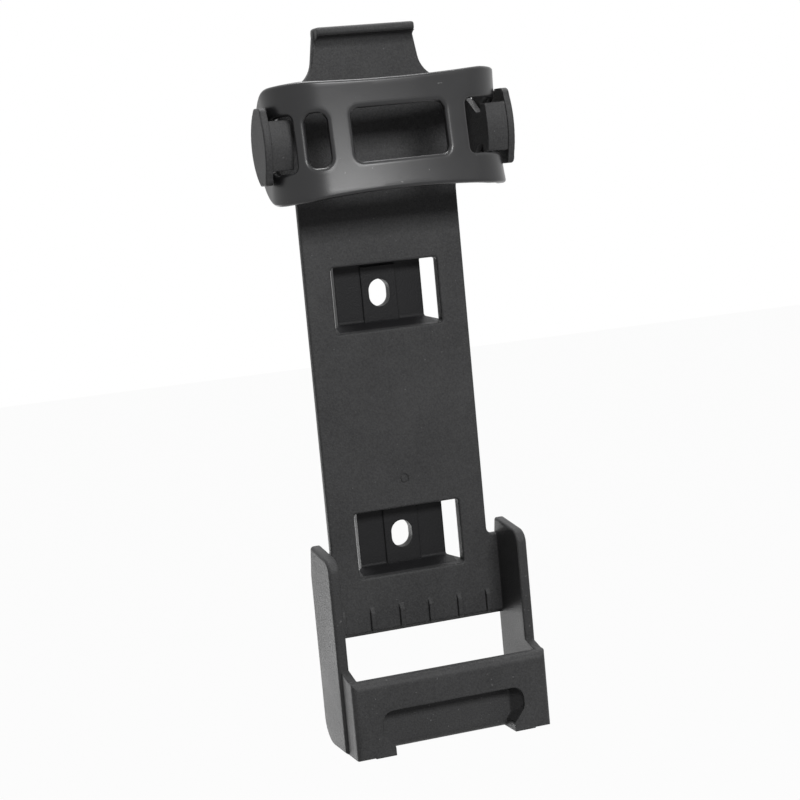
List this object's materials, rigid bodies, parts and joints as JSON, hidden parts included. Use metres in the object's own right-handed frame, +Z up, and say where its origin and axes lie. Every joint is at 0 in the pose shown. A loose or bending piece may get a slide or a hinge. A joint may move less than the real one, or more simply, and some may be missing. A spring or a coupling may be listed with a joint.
{
  "type": "bike lock bracket",
  "caption": "Frame-mounted holder for a folding bike lock: long back plate with slotted bolt holes, open-backed cup at the foot and a rubber strap over side hooks.",
  "frame": {"origin": "halfway between the bolt slots, on the rear face of the bridges that lies against the bicycle's frame", "axes": "+Z up along the back plate, +X to the right as seen from the front, +Y back towards the bicycle's frame"},
  "size_m": [0.0664, 0.0326, 0.1831],
  "materials": {
    "moulded_plastic": "fine moulded grain, slightly satin",
    "strap_rubber": "smooth satin"
  },
  "bodies": {
    "holder": {"holder_body": "moulded_plastic"},
    "strap": {"rubber_strap": "strap_rubber"}
  },
  "joints": [
    {"name": "strap_swing", "type": "hinge", "parent": "holder", "child": "strap", "pos_m": [0, -0.0214, 0.0719], "axis": [1, 0, 0], "range_deg": [-25, 30]}
  ]
}
